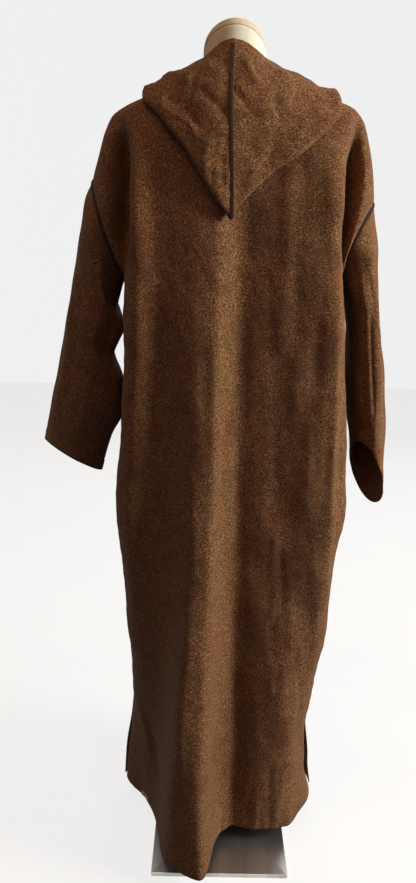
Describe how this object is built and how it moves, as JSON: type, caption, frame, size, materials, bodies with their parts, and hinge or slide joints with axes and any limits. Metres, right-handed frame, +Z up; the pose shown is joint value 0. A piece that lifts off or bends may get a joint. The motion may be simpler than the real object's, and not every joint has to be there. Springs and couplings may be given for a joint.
{
  "type": "djellaba robe on dress form",
  "caption": "Long hooded wool djellaba robe with wide sleeves, hood folded down the back, on a limbless dress form with a pole and flat steel base.",
  "frame": {"origin": "centre of the stand pole's axis on the base plate's underside, which is the floor", "axes": "+Z up along the pole; the robe's back faces -Y and its front +Y; +X is the wearer's right side"},
  "size_m": [0.649, 0.4899, 1.5226],
  "materials": {
    "wool": "brushed heather brown wool",
    "braid": "dark flat braid",
    "tape": "blank woven tape",
    "jersey": "cream jersey cover",
    "felt": "dark felt washer",
    "cap": "beige cap cloth",
    "steel": "polished steel"
  },
  "bodies": {
    "root": {"panel_back": "wool", "panel_front": "wool", "sleeve_left": "wool", "sleeve_right": "wool", "hood_left": "wool", "hood_right": "wool", "braid_armhole_left": "braid", "braid_armhole_right": "braid", "braid_hood": "braid", "hem_label": "tape", "form_torso": "jersey", "form_neck_joint": "felt", "form_neck_cap": "cap", "stand_pole": "steel", "stand_base": "steel"}
  },
  "joints": []
}
